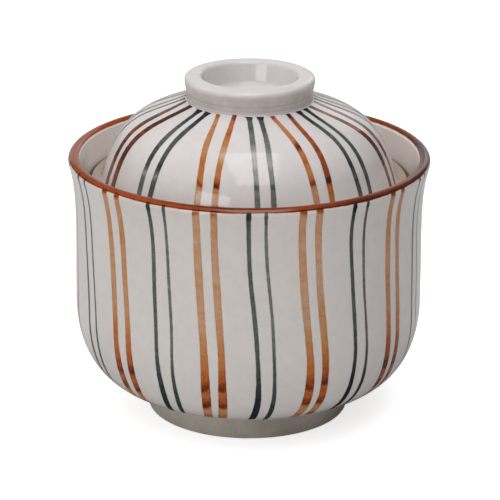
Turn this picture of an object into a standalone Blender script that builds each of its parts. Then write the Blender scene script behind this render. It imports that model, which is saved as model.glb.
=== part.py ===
"""Chawanmushi cup: a stoneware cup on a foot ring, and a domed lid that drops into its mouth.

Both pieces are turned about +Z. The origin is on the table, at the centre of the foot ring, and the cup
stands the right way up with its lid on. Sizes are in metres and angles in degrees.
"""

import math

import bpy
from mathutils import Vector

# Cup, outside
LIP_RADIUS = 0.0410  # at the lip, the widest place
LIP_HEIGHT = 0.0608  # from the table to the top of the lip
LIP_THICKNESS = 0.0028
LIP_LEAN = 16  # how far the wall leans out just under the lip
FLARE = 0.00154  # how far the lip stands out from the waist
WAIST_HEIGHT = 0.0435
SWELL = 0.00011  # how far the belly stands out from the waist
BELLY_HEIGHT = 0.0289

# Foot ring
FOOT_RADIUS = 0.02295  # at the tread
FOOT_FLARE = 0.00095  # how much wider the foot is where it meets the body
FOOT_HEIGHT = 0.0060
FOOT_WIDTH = 0.0042  # width of the ring at the tread
FOOT_CHAMFER = 0.0004
FOOT_HOLLOW = 0.0046  # depth of the hollow under the foot
HEEL_SLOPE = 6  # rise of the body's underside where it leaves the foot

# Cup, inside
WALL = 0.0048  # at the waist
FLOOR = 0.0048  # over the foot's hollow
FLOOR_RADIUS = 0.0160  # flat of the floor
MOUTH_TAPER = 0.00185  # how much the mouth narrows from the lip to the lid's seat
SEAT_DEPTH = 0.0083  # from the top of the lip to the lid's seat
SEAT_ROUND = 0.0005  # edge and corner of the seat

# Lid
LID_PLAY = 0.00045  # gap all round between the brim and the mouth
LID_GAP = 0.0003  # gap between the brim and the seat under it
BRIM_WIDTH = 0.0025
BRIM_THICKNESS = 0.0022
BRIM_ROUND = 0.0007
DOME_RISE = 0.0186  # from the top of the brim to the knob
DOME_LEAN = 14  # how far the dome leans in where it leaves the brim
DOME_SLOPE = 24  # fall of the dome where it leaves the knob
LID_WALL = 0.0034

# Ring knob
KNOB_RADIUS = 0.01472  # at its widest, just under the crown
KNOB_HEIGHT = 0.0054  # from the dome to the top of the crown
KNOB_WIDTH = 0.0041  # width of the ring
KNOB_CROWN = 0.00115  # from the widest place up to the top
KNOB_EDGE = 0.0012  # rounding between the top and the hollow
KNOB_ROLL = 0.00255  # from the widest place down to the crease under the crown
KNOB_TUCK = 0.00037  # how far the crown draws in to that crease
KNOB_TUCK_LEAN = 9  # how far it leans in there
KNOB_NECK = 0.0006  # how much narrower the knob is where it meets the dome
KNOB_HOLLOW = 0.0052  # depth inside the ring
KNOB_DRAFT = 0.0009  # how much the hollow narrows towards its floor
KNOB_FILLET = 0.0012  # corner of the hollow's floor
KNOB_BASE = 0.0028  # thickness of the clay under the hollow

# Fullness of the curves: each handle's length as a share of the height or width that the curve spans
FLARE_FULLNESS = (0.32, 0.37)
BELLY_FULLNESS = (0.35, 0.35)
HEEL_FULLNESS = (0.117, 1.11)
WELL_FULLNESS = (0.74, 0.68)
DOME_FULLNESS = (0.562, 0.827)
CEILING_FULLNESS = (0.70, 0.55)
CROWN_FULLNESS = (0.74, 0.74)
ROLL_FULLNESS = (0.45, 0.35)

# Fineness of the surface: how many straight steps stand for each curve
SEGMENTS = 64  # round the axis
WELL_STEPS = 8
EDGE_STEPS = 2
LIP_STEPS = 7
FLARE_STEPS = 4
BELLY_STEPS = 2
HEEL_STEPS = 9
KNOB_FILLET_STEPS = 3
CROWN_STEPS = 5
ROLL_STEPS = 3
DOME_STEPS = 10
CEILING_STEPS = 9
SMOOTH_ANGLE = 40  # edges sharper than this stay sharp
MERGE_DISTANCE = 0.00001

# Places that the sizes give
WAIST_RADIUS = LIP_RADIUS - FLARE
BELLY_RADIUS = WAIST_RADIUS + SWELL
WELL_RADIUS = WAIST_RADIUS - WALL
FLOOR_HEIGHT = FOOT_HOLLOW + FLOOR
SEAT_HEIGHT = LIP_HEIGHT - SEAT_DEPTH
MOUTH_RADIUS = LIP_RADIUS - LIP_THICKNESS - MOUTH_TAPER
LID_REST_HEIGHT = SEAT_HEIGHT + LID_GAP
BRIM_RADIUS = MOUTH_RADIUS - LID_PLAY
DOME_RADIUS = BRIM_RADIUS - BRIM_WIDTH
OPENING_RADIUS = DOME_RADIUS - LID_WALL
DOME_TOP = BRIM_THICKNESS + DOME_RISE
KNOB_TOP = DOME_TOP + KNOB_HEIGHT
KNOB_FLOOR = KNOB_TOP - KNOB_HOLLOW

# Finishes: colour and roughness
FINISHES = {
    "glaze": ((0.62, 0.60, 0.57, 1.0), 0.12),
    "iron_brown": ((0.36, 0.11, 0.04, 1.0), 0.22),
    "bare_clay": ((0.30, 0.26, 0.23, 1.0), 0.85),
}


def at_angle(degrees, length):
    """A step of this length, with the angle counted from outwards to upwards."""
    angle = math.radians(degrees)
    return Vector((length * math.cos(angle), length * math.sin(angle)))


def arc(centre, radius, start, end, steps, height=None):
    """Points round a centre, from one angle to another, on an ellipse if a height is given."""
    points = []
    for step in range(steps + 1):
        angle = math.radians(start + (end - start) * step / steps)
        rise = radius if height is None else height
        points.append(centre + Vector((radius * math.cos(angle), rise * math.sin(angle))))
    return points


def curve(start, leave, arrive, end, steps):
    """Points on a cubic curve, where leave and arrive are the steps from its ends to their handles."""
    first = start + leave
    second = end + arrive
    points = []
    for step in range(steps + 1):
        t = step / steps
        s = 1 - t
        points.append(s**3 * start + 3 * s * s * t * first + 3 * s * t * t * second + t**3 * end)
    return points


def cup_outline():
    """The cup's section: from the middle of its floor, over the lip and down to the foot's hollow."""
    lip_round = LIP_THICKNESS / 2
    lip_centre = Vector((LIP_RADIUS - lip_round, LIP_HEIGHT - lip_round))
    mouth_lean = math.degrees(math.atan2(MOUTH_TAPER, lip_centre.y - SEAT_HEIGHT))
    waist = Vector((WAIST_RADIUS, WAIST_HEIGHT))
    belly = Vector((BELLY_RADIUS, BELLY_HEIGHT))
    heel = Vector((FOOT_RADIUS + FOOT_FLARE, FOOT_HEIGHT))
    well = Vector((WELL_RADIUS, BELLY_HEIGHT))
    floor_edge = Vector((FLOOR_RADIUS, FLOOR_HEIGHT))
    well_depth = well.y - floor_edge.y
    hollow_radius = FOOT_RADIUS - FOOT_WIDTH

    outline = [Vector((0, FLOOR_HEIGHT))]
    outline += curve(
        floor_edge,
        at_angle(0, WELL_FULLNESS[0] * (well.x - floor_edge.x)),
        at_angle(-90, WELL_FULLNESS[1] * well_depth),
        well,
        WELL_STEPS,
    )
    seat_edge = Vector((WELL_RADIUS + SEAT_ROUND, SEAT_HEIGHT - SEAT_ROUND))
    outline += arc(seat_edge, SEAT_ROUND, 180, 90, EDGE_STEPS)
    seat_corner = Vector((MOUTH_RADIUS - SEAT_ROUND, SEAT_HEIGHT + SEAT_ROUND))
    outline += arc(seat_corner, SEAT_ROUND, -90, 0, EDGE_STEPS)
    lip = arc(lip_centre, lip_round, 180 - mouth_lean, -LIP_LEAN, LIP_STEPS)
    outline += lip
    flare_drop = lip[-1].y - waist.y
    outline += curve(
        lip[-1],
        at_angle(-90 - LIP_LEAN, FLARE_FULLNESS[0] * flare_drop),
        at_angle(90, FLARE_FULLNESS[1] * flare_drop),
        waist,
        FLARE_STEPS,
    )
    belly_drop = waist.y - belly.y
    outline += curve(
        waist,
        at_angle(-90, BELLY_FULLNESS[0] * belly_drop),
        at_angle(90, BELLY_FULLNESS[1] * belly_drop),
        belly,
        BELLY_STEPS,
    )
    outline += curve(
        belly,
        at_angle(-90, HEEL_FULLNESS[0] * (belly.y - heel.y)),
        at_angle(HEEL_SLOPE, HEEL_FULLNESS[1] * (belly.x - heel.x)),
        heel,
        HEEL_STEPS,
    )
    outline += [
        Vector((FOOT_RADIUS, FOOT_CHAMFER)),
        Vector((FOOT_RADIUS - FOOT_CHAMFER, 0)),
        Vector((hollow_radius + FOOT_CHAMFER, 0)),
        Vector((hollow_radius, FOOT_CHAMFER)),
    ]
    hollow_corner = Vector((hollow_radius - FOOT_CHAMFER, FOOT_HOLLOW - FOOT_CHAMFER))
    outline += arc(hollow_corner, FOOT_CHAMFER, 0, 90, EDGE_STEPS)
    outline.append(Vector((0, FOOT_HOLLOW)))
    return outline


def lid_outline():
    """The lid's section above the underside of its brim: from the knob's hollow to its ceiling."""
    knob_inside = KNOB_RADIUS - KNOB_WIDTH
    crest = Vector((knob_inside + KNOB_EDGE, KNOB_TOP))
    widest = Vector((KNOB_RADIUS, KNOB_TOP - KNOB_CROWN))
    crease = Vector((KNOB_RADIUS - KNOB_TUCK, widest.y - KNOB_ROLL))
    knob_foot = Vector((KNOB_RADIUS - KNOB_NECK, DOME_TOP))
    dome_foot = Vector((DOME_RADIUS, BRIM_THICKNESS))
    opening = Vector((OPENING_RADIUS, 0))
    ceiling = Vector((0, KNOB_FLOOR - KNOB_BASE))

    outline = [Vector((0, KNOB_FLOOR))]
    draft_angle = math.degrees(math.atan2(KNOB_DRAFT, KNOB_HOLLOW - KNOB_FILLET - KNOB_EDGE))
    hollow_corner = Vector((knob_inside - KNOB_DRAFT - KNOB_FILLET, KNOB_FLOOR + KNOB_FILLET))
    outline += arc(hollow_corner, KNOB_FILLET, -90, -draft_angle, KNOB_FILLET_STEPS)
    outline += arc(crest - Vector((0, KNOB_EDGE)), KNOB_EDGE, 180 - draft_angle, 90, KNOB_FILLET_STEPS)
    outline += curve(
        crest,
        at_angle(0, CROWN_FULLNESS[0] * (widest.x - crest.x)),
        at_angle(90, CROWN_FULLNESS[1] * KNOB_CROWN),
        widest,
        CROWN_STEPS,
    )
    outline += curve(
        widest,
        at_angle(-90, ROLL_FULLNESS[0] * KNOB_ROLL),
        at_angle(90 - KNOB_TUCK_LEAN, ROLL_FULLNESS[1] * KNOB_ROLL),
        crease,
        ROLL_STEPS,
    )
    outline += curve(
        knob_foot,
        at_angle(-DOME_SLOPE, DOME_FULLNESS[0] * (dome_foot.x - knob_foot.x)),
        at_angle(90 + DOME_LEAN, DOME_FULLNESS[1] * DOME_RISE),
        dome_foot,
        DOME_STEPS,
    )
    brim_edge = Vector((BRIM_RADIUS - BRIM_ROUND, BRIM_THICKNESS - BRIM_ROUND))
    outline += arc(brim_edge, BRIM_ROUND, 90, 0, EDGE_STEPS)
    brim_underside = Vector((BRIM_RADIUS - BRIM_ROUND, BRIM_ROUND))
    outline += arc(brim_underside, BRIM_ROUND, 0, -90, EDGE_STEPS)
    outline += curve(
        opening,
        at_angle(90 + DOME_LEAN, CEILING_FULLNESS[0] * ceiling.y),
        at_angle(0, CEILING_FULLNESS[1] * opening.x),
        ceiling,
        CEILING_STEPS,
    )
    return outline


def material(name, finish):
    """A fired surface, from its colour and roughness."""
    colour, roughness = finish
    made = bpy.data.materials.new(name)
    made.use_nodes = True
    shader = made.node_tree.nodes["Principled BSDF"]
    shader.inputs["Base Color"].default_value = colour
    shader.inputs["Roughness"].default_value = roughness
    shader.inputs["Metallic"].default_value = 0.0
    made.diffuse_color = colour
    return made


def turned(name, outline, collection):
    """A piece turned about +Z from its section, as a plain closed mesh."""
    points = []
    for point in outline:
        if not points or (point - points[-1]).length > MERGE_DISTANCE:
            points.append(point)
    profile = bpy.data.meshes.new(name + "_section")
    edges = [(index, index + 1) for index in range(len(points) - 1)]
    profile.from_pydata([(point.x, 0, point.y) for point in points], edges, [])
    section = bpy.data.objects.new(name + "_section", profile)
    collection.objects.link(section)
    screw = section.modifiers.new("turn", "SCREW")
    screw.axis = "Z"
    screw.angle = math.tau
    screw.steps = SEGMENTS
    screw.render_steps = SEGMENTS
    screw.use_merge_vertices = True
    screw.merge_threshold = MERGE_DISTANCE

    bpy.context.view_layer.update()
    graph = bpy.context.evaluated_depsgraph_get()
    mesh = bpy.data.meshes.new_from_object(section.evaluated_get(graph))
    bpy.data.objects.remove(section)
    bpy.data.meshes.remove(profile)
    mesh.name = name
    mesh.shade_smooth()
    mesh.set_sharp_from_angle(angle=math.radians(SMOOTH_ANGLE))
    piece = bpy.data.objects.new(name, mesh)
    collection.objects.link(piece)
    return piece


def cup_finish(radius, height):
    """Which finish the cup has there: glaze, but iron brown round the lip and bare clay on the foot."""
    if height > LIP_HEIGHT - LIP_THICKNESS / 2:
        return "iron_brown"
    return "bare_clay" if height < FOOT_HEIGHT else "glaze"


def lid_finish(radius, height):
    """Which finish the lid has there: glaze, but bare clay under the brim, where it stands on its seat."""
    return "bare_clay" if radius > OPENING_RADIUS and height < BRIM_ROUND / 2 else "glaze"


def dress(piece, materials, finish):
    """Gives each face of the piece the material that finish names for its radius and height."""
    names = list(materials)
    for name in names:
        piece.data.materials.append(materials[name])
    for face in piece.data.polygons:
        radius = math.hypot(face.center.x, face.center.y)
        face.material_index = names.index(finish(radius, face.center.z))


def main():
    """Builds the cup and its lid in an otherwise empty scene."""
    for old in list(bpy.data.objects):
        bpy.data.objects.remove(old)
    parts = bpy.data.collections.new("chawanmushi_cup")
    bpy.context.scene.collection.children.link(parts)

    materials = {name: material(name, finish) for name, finish in FINISHES.items()}

    cup = turned("cup", cup_outline(), parts)
    dress(cup, materials, cup_finish)
    lid = turned("lid", lid_outline(), parts)
    dress(lid, materials, lid_finish)
    lid.location.z = LID_REST_HEIGHT


main()
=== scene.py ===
"""Chawanmushi cup: the painted glaze, the bare clay and the studio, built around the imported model.

Two pieces stand for the two fired pieces of the object: the cup and its lid. Both are turned about +Z, so
each is one section spun round the axis. The lines that are painted on them under the glaze follow the
surface through attributes. Sizes are in metres, and distances over a painted surface are in millimetres.
Angles are in degrees, counted from the front, which faces -Y, towards +X.
"""

import logging
import math
from abc import ABC, abstractmethod
from dataclasses import dataclass, field
from enum import Enum
from typing import Any, ClassVar, Iterable, Sequence

import bpy
import numpy as np
from mathutils import Matrix, Vector
from mathutils.kdtree import KDTree


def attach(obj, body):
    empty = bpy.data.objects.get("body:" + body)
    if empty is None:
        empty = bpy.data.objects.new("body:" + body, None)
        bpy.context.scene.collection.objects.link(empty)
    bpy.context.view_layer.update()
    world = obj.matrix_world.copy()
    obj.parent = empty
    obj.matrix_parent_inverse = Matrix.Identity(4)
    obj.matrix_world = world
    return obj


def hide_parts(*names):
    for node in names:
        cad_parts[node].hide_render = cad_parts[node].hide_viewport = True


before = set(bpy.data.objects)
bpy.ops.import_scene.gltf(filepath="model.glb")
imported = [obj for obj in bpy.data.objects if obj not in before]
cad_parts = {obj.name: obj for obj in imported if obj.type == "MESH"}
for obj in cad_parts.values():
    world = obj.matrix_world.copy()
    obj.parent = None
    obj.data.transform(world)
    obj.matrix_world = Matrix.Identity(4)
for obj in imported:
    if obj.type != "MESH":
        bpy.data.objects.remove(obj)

LOG = logging.getLogger("chawanmushi_cup")
MM = 1000.0  # millimetres in a metre
SEED = 2114
MERGE_DISTANCE = 0.000002
RELIEF_DEPTH = 0.0002  # height of the fine relief of glaze and clay
UNPAINTED_MM = 9.0  # offset of a face that no line crosses
LIP_REACH_MM = 9.0  # how far down the mouth the distance from the lip's band is told
SIDES = (-0.5, 0.5)  # where the two lines of a pair lie, in gaps from its middle
WHITE = (1.0, 1.0, 1.0, 1.0)
FLOAT = "NodeSocketFloat"
COLOUR = "NodeSocketColor"

Colour = tuple[float, float, float, float]
Range = tuple[float, float]
Triple = tuple[float, float, float]
Rng = np.random.Generator


class Pigment(Enum):
    """The two colours that the lines are painted in."""

    RUST = 0
    GREEN = 1


class Surface(Enum):
    """What a face shows: glaze, or the clay where the glaze was wiped off."""

    GLAZE = 0
    CLAY = 1


# Sections


def point(radius: float, height: float) -> Vector:
    """A point of a section."""
    return Vector((radius, height))


def at_angle(degrees: float, length: float) -> Vector:
    """A step of this length, with the angle counted from outwards to upwards."""
    angle = math.radians(degrees)
    return point(length * math.cos(angle), length * math.sin(angle))


def arc(centre: Vector, radius: float, start: float, end: float, steps: int) -> list[Vector]:
    """Points round a centre, from one angle to another, in this many straight steps."""
    return [centre + at_angle(start + (end - start) * step / steps, radius) for step in range(steps + 1)]


@dataclass
class Section:
    """The section of a turned piece, drawn point by point, with named places along it."""

    points: list[Vector] = field(default_factory=list)
    places: dict[str, int] = field(default_factory=dict)
    bare: tuple[int, int] = (0, 0)  # the points between which the glaze is wiped off

    def add(self, points: Iterable[Vector], name: str | None = None) -> None:
        """Goes on along these points.

        Args:
            points: The next points.
            name: Name for the place where this stretch ends.
        """
        for there in points:
            if not self.points or (there - self.points[-1]).length > MERGE_DISTANCE:
                self.points.append(there)
        if name is not None:
            self.places[name] = len(self.points) - 1

    def straight(self, end: Vector, steps: int, name: str | None = None) -> None:
        """Goes straight on to a point, in this many steps."""
        start = self.points[-1]
        self.add([start.lerp(end, step / steps) for step in range(steps + 1)], name)

    def bend(
        self, leave: float, arrive: float, fullness: Range, end: Vector, steps: int, name: str | None = None
    ) -> None:
        """Goes on along a cubic curve.

        Args:
            leave: Angle of the handle at its start.
            arrive: Angle of the handle at its end.
            fullness: Lengths of the two handles, as shares of how far the curve goes across or up.
            end: Where it ends.
            steps: How many straight steps it has.
            name: Name for the place where it ends.
        """
        start = self.points[-1]
        handles = []
        for angle, share in zip((leave, arrive), fullness):
            way = at_angle(angle, share)
            reach = end.y - start.y if abs(way.y) > abs(way.x) else end.x - start.x
            handles.append(way * abs(reach))
        first = start + handles[0]
        second = end + handles[1]
        shares = [step / steps for step in range(1, steps + 1)]
        weights = [((1 - t) ** 3, 3 * (1 - t) ** 2 * t, 3 * (1 - t) * t * t, t**3) for t in shares]
        self.add([a * start + b * first + c * second + d * end for a, b, c, d in weights], name)

    def table(self) -> np.ndarray:
        """Measures the section.

        Returns:
            Radius, height and distance along the section of each point, in millimetres.
        """
        flat = np.array([(there.x, there.y) for there in self.points]) * MM
        steps = np.hypot(*np.diff(flat, axis=0).T)
        return np.column_stack([flat, np.concatenate([[0.0], np.cumsum(steps)])])


@dataclass
class Wheel:
    """Turns sections into closed meshes, as clay is thrown on a wheel."""

    segments: int = 360  # columns of faces round a piece
    hand_scale: float = 0.022  # size of the unevenness that a hand leaves
    hand_depth: float = 0.00012  # most that it presses in

    def throw(self, name: str, section: Section) -> bpy.types.Object:
        """Draws the section point by point and spins it about +Z.

        Args:
            name: Name for the piece.
            section: Its section, which starts and ends on the axis.

        Returns:
            The new piece, closed and smooth, with its place in its mesh.
        """
        bpy.ops.object.select_all(action="DESELECT")
        first = section.points[0]
        bpy.ops.mesh.primitive_plane_add(size=MERGE_DISTANCE, location=(first.x, 0, first.y))
        piece = bpy.context.object
        piece.name = piece.data.name = name
        bpy.ops.object.transform_apply(location=True, rotation=True, scale=True)
        bpy.ops.object.mode_set(mode="EDIT")
        bpy.ops.mesh.select_all(action="SELECT")
        bpy.ops.mesh.merge(type="CENTER")
        for here, there in zip(section.points, section.points[1:]):
            step = (there.x - here.x, 0, there.y - here.y)
            bpy.ops.mesh.extrude_vertices_move(TRANSFORM_OT_translate={"value": step})
        bpy.ops.object.mode_set(mode="OBJECT")
        turn = piece.modifiers.new("turn", "SCREW")
        turn.axis = "Z"
        turn.angle = math.tau
        turn.steps = turn.render_steps = self.segments
        turn.use_merge_vertices = True
        turn.merge_threshold = MERGE_DISTANCE
        bpy.ops.object.modifier_apply(modifier=turn.name)
        bpy.ops.object.mode_set(mode="EDIT")
        bpy.ops.mesh.select_all(action="SELECT")
        bpy.ops.mesh.remove_doubles(threshold=MERGE_DISTANCE)
        bpy.ops.mesh.normals_make_consistent(inside=False)
        bpy.ops.object.mode_set(mode="OBJECT")
        bpy.ops.object.shade_smooth()
        return piece

    def unsettle(self, piece: bpy.types.Object, weights: np.ndarray) -> None:
        """Presses the surface in very slightly and unevenly, as a hand leaves it.

        Args:
            piece: The turned piece.
            weights: How far each vertex gives way, from 0 to 1.
        """
        group = piece.vertex_groups.new(name="thrown")
        for level in np.unique(weights):
            group.add(np.flatnonzero(weights == level).tolist(), float(level), "REPLACE")
        clouds = bpy.data.textures.new(piece.name + "_hand", "CLOUDS")
        clouds.noise_scale = self.hand_scale
        hand = piece.modifiers.new("hand", "DISPLACE")
        hand.texture = clouds
        hand.texture_coords = "LOCAL"
        hand.direction = "NORMAL"
        hand.mid_level = 1.0
        hand.strength = self.hand_depth
        hand.vertex_group = group.name
        bpy.ops.object.select_all(action="DESELECT")
        piece.select_set(True)
        bpy.context.view_layer.objects.active = piece
        bpy.ops.object.modifier_apply(modifier=hand.name)
        piece.vertex_groups.clear()


def read_all(items: bpy.types.bpy_prop_collection, name: str, kind: type, width: int = 1) -> np.ndarray:
    """Reads one property of a mesh.

    Args:
        items: Its vertices, corners or faces.
        name: The property.
        kind: Type of its numbers.
        width: How many numbers it has.

    Returns:
        All of them in a row.
    """
    values = np.empty(len(items) * width, kind)
    items.foreach_get(name, values)
    return values


def wrapped(angles: np.ndarray) -> np.ndarray:
    """Angles brought between -180 and 180."""
    return (angles + 180) % 360 - 180


class TurnedMesh:
    """Reads a turned piece back as rings of its section, and writes attributes on it."""

    axis_mm: ClassVar[float] = 0.02  # nearer to the axis than this, a corner has no angle of its own
    margin: ClassVar[float] = 0.004  # what is left free round the map

    def __init__(self, piece: bpy.types.Object, section: Section, begin: str) -> None:
        """Finds the ring and the angle of each corner of each face.

        Args:
            piece: The turned piece.
            section: The section that it was turned from.
            begin: The place from which painted lines are measured along it.
        """
        self.mesh = piece.data
        self.places = section.places
        self.rings = section.table()
        self.along = self.rings[:, 2] - self.rings[section.places[begin], 2]
        vertices = read_all(self.mesh.vertices, "co", float, 3).reshape(-1, 3) * MM
        tree = KDTree(len(self.rings))
        for index, ring in enumerate(self.rings):
            tree.insert((ring[0], ring[1], 0.0), index)
        tree.balance()
        radius = np.hypot(vertices[:, 0], vertices[:, 1])
        self.vertex_ring = np.array([tree.find((r, z, 0.0))[1] for r, z in zip(radius, vertices[:, 2])])

        corner = read_all(self.mesh.loops, "vertex_index", int)
        counts = read_all(self.mesh.polygons, "loop_total", int)
        self.face_of = np.repeat(np.arange(len(counts)), counts)
        self.corner_ring = self.vertex_ring[corner]
        self.face_ring = np.bincount(self.face_of, self.corner_ring) / counts
        off_axis = radius[corner] >= self.axis_mm
        turn = np.arctan2(vertices[corner, 0], -vertices[corner, 1])
        east = np.bincount(self.face_of, np.sin(turn) * off_axis)
        north = np.bincount(self.face_of, np.cos(turn) * off_axis)
        self.face_angle = np.degrees(np.arctan2(east, north))
        middle = self.face_angle[self.face_of]
        self.corner_angle = middle + np.where(off_axis, wrapped(np.degrees(turn) - middle), 0.0)

    def at(self, name: str) -> float:
        """How far along the painted lines a place is."""
        return self.along[self.places[name]]

    def paint_corners(self, name: str, values: np.ndarray) -> None:
        """Writes a vector for each corner of each face."""
        layer = self.mesh.attributes.new(name, "FLOAT_VECTOR", "CORNER")
        layer.data.foreach_set("vector", values.astype(np.float32).ravel())

    def paint_rings(self, name: str, values: np.ndarray) -> None:
        """Writes a number for each vertex, from the numbers of the rings."""
        layer = self.mesh.attributes.new(name, "FLOAT", "POINT")
        layer.data.foreach_set("value", values[self.vertex_ring].astype(np.float32))

    def lay_flat(self) -> None:
        """Unrolls the surface into a map: once round it across, and along the section upwards."""
        layer = self.mesh.uv_layers.new(name="OFBake")
        along = self.rings[:, 2] / self.rings[-1, 2]
        flat = np.column_stack([self.corner_angle / 360 + 0.5, along[self.corner_ring]])
        flat = self.margin + flat * (1 - 2 * self.margin)
        layer.data.foreach_set("uv", flat.astype(np.float32).ravel())


# Brushwork


def smooth_step(low: float, high: float, values: np.ndarray) -> np.ndarray:
    """Rises smoothly from 0 at low to 1 at high."""
    t = np.clip((values - low) / (high - low), 0.0, 1.0)
    return t * t * (3 - 2 * t)


def bell(middle: float, width: float, values: np.ndarray) -> np.ndarray:
    """A round hump of height 1 about its middle."""
    return np.exp(-0.5 * ((values - middle) / width) ** 2)


@dataclass(frozen=True)
class BrushPair:
    """Two lines that are drawn side by side."""

    pigment: Pigment
    angle: float  # of the middle of the pair, where the stroke begins
    lean: float  # how far the pair swings round along its stroke
    gap: float = 0.0  # angle between the two lines, where the piece has no usual one
    load: float = 0.0  # how much more paint than usual it carries; on the cup's right-hand pairs partly painted shade, and on the lid's front green pair its lower value is partly a painted highlight
    broad: float = 1.0  # how much broader than usual its lines are
    second: float = 0.0  # how much more paint its second line carries than its first
    fades: Range = (0.0, 0.0)  # how much less paint each line carries half way along; on the lid's front green pair partly a painted highlight
    dab_and_reflection: float = 0.0  # how much more paint gathers just before its end; below 0 it lightens the line there, a painted reflection of the cup's rim
    tail: float = 0.0  # how much more paint is left at its very end


@dataclass
class Brush:
    """The brush on one line of a pair: places and lengths along that line, and the hand's irregularities."""

    pair: BrushPair
    line: int  # 0 for the first line of the pair, and 1 for the second
    side: float  # where that line lies in the pair, in gaps from the middle
    turned: TurnedMesh
    rng: Rng
    phases: ClassVar[Range] = (0.0, 6.3)  # where in its turn a waver can start

    @property
    def along(self) -> np.ndarray:
        """How far along the line each ring lies."""
        return self.turned.along

    def chance(self, low: float, high: float) -> float:
        """A small irregularity in this range."""
        return self.rng.uniform(low, high)

    def rise(self, low: float, high: float) -> np.ndarray:
        """Rises smoothly from 0 at the place low to 1 at the place high."""
        return smooth_step(low, high, self.along)

    def hump(self, middle: float, width: float) -> np.ndarray:
        """A round hump of height 1 about a place."""
        return bell(middle, width, self.along)

    def waver(self, low: float, high: float) -> np.ndarray:
        """A waver of the hand between -1 and 1, over a length in this range."""
        return np.sin(self.along / self.chance(low, high) + self.chance(*self.phases))

    def dabs(self, count: int, loads: Range, middles: Range, widths: Range) -> np.ndarray:
        """Paint that lies unevenly on the line, in this many soft dabs."""
        draws = [(self.chance(*loads), self.chance(*middles), self.chance(*widths)) for _ in range(count)]
        return sum(load * self.hump(middle, width) for load, middle, width in draws)


@dataclass
class BrushLine:
    """One painted line, as it lies on each ring of a turned piece."""

    pigment: Pigment
    angle: np.ndarray  # of its middle
    half_width: np.ndarray  # 0 where it isn't painted
    load: np.ndarray  # how much paint lies there, from 0 to about 1
    slant: float  # how much further along the paint gathers, for each millimetre across the line
    sag: float  # how much further along it gathers in the middle than a millimetre beside it


def paint_lines(turned: TurnedMesh, lines: Sequence[BrushLine]) -> None:
    """Writes where the painted lines run, as attributes of the corners of the faces.

    The attribute brush holds the offset from the nearest line, the distance along it and the line's number.
    The attribute stroke holds the line's half width, its load and its pigment.

    Args:
        turned: The piece.
        lines: Its lines.
    """
    along = turned.along
    angles = np.array([line.angle for line in lines])
    halves = np.array([line.half_width for line in lines])
    pigments = np.array([line.pigment.value for line in lines])
    face_ring = np.round(turned.face_ring).astype(int)
    nearest = np.abs(wrapped(turned.face_angle - angles[:, face_ring])).argmin(axis=0)[turned.face_of]
    ring = turned.corner_ring
    turn = wrapped(turned.corner_angle - angles[nearest, ring])
    offset = np.radians(turn) * turned.rings[ring, 0]
    half = halves[nearest, ring]
    load = np.zeros(len(ring))
    for index, line in enumerate(lines):
        here = nearest == index
        across = offset[here]
        gathered = along[ring[here]] - line.slant * across + line.sag * across**2
        load[here] = np.interp(gathered, along, line.load)
    offset = np.where(half > 0, offset, UNPAINTED_MM)
    turned.paint_corners("brush", np.column_stack([offset, along[ring], nearest]))
    turned.paint_corners("stroke", np.column_stack([half, load, pigments[nearest]]))


# Nodes


class Wire:
    """A value in a node tree, which can be reckoned with as a number can."""

    def __init__(self, board: "NodeBoard", socket: bpy.types.NodeSocket) -> None:
        """Takes the board that it is on and the socket that gives it."""
        self.board = board
        self.socket = socket

    def __add__(self, other: Any) -> "Wire":
        """Its sum with another value."""
        return self.board.math("ADD", self, other)

    def __sub__(self, other: Any) -> "Wire":
        """What is left when another value is taken off."""
        return self.board.math("SUBTRACT", self, other)

    def __mul__(self, other: Any) -> "Wire":
        """Its product with another value."""
        return self.board.math("MULTIPLY", self, other)

    def spread(self, low: float, high: float, to_low: float = 0.0, to_high: float = 1.0) -> "Wire":
        """A smooth step of it from one range to another."""
        inputs = {"Value": self, "From Min": low, "From Max": high, "To Min": to_low, "To Max": to_high}
        return self.board.wire(self.board.node("MapRange", inputs, interpolation_type="SMOOTHSTEP"))


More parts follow.
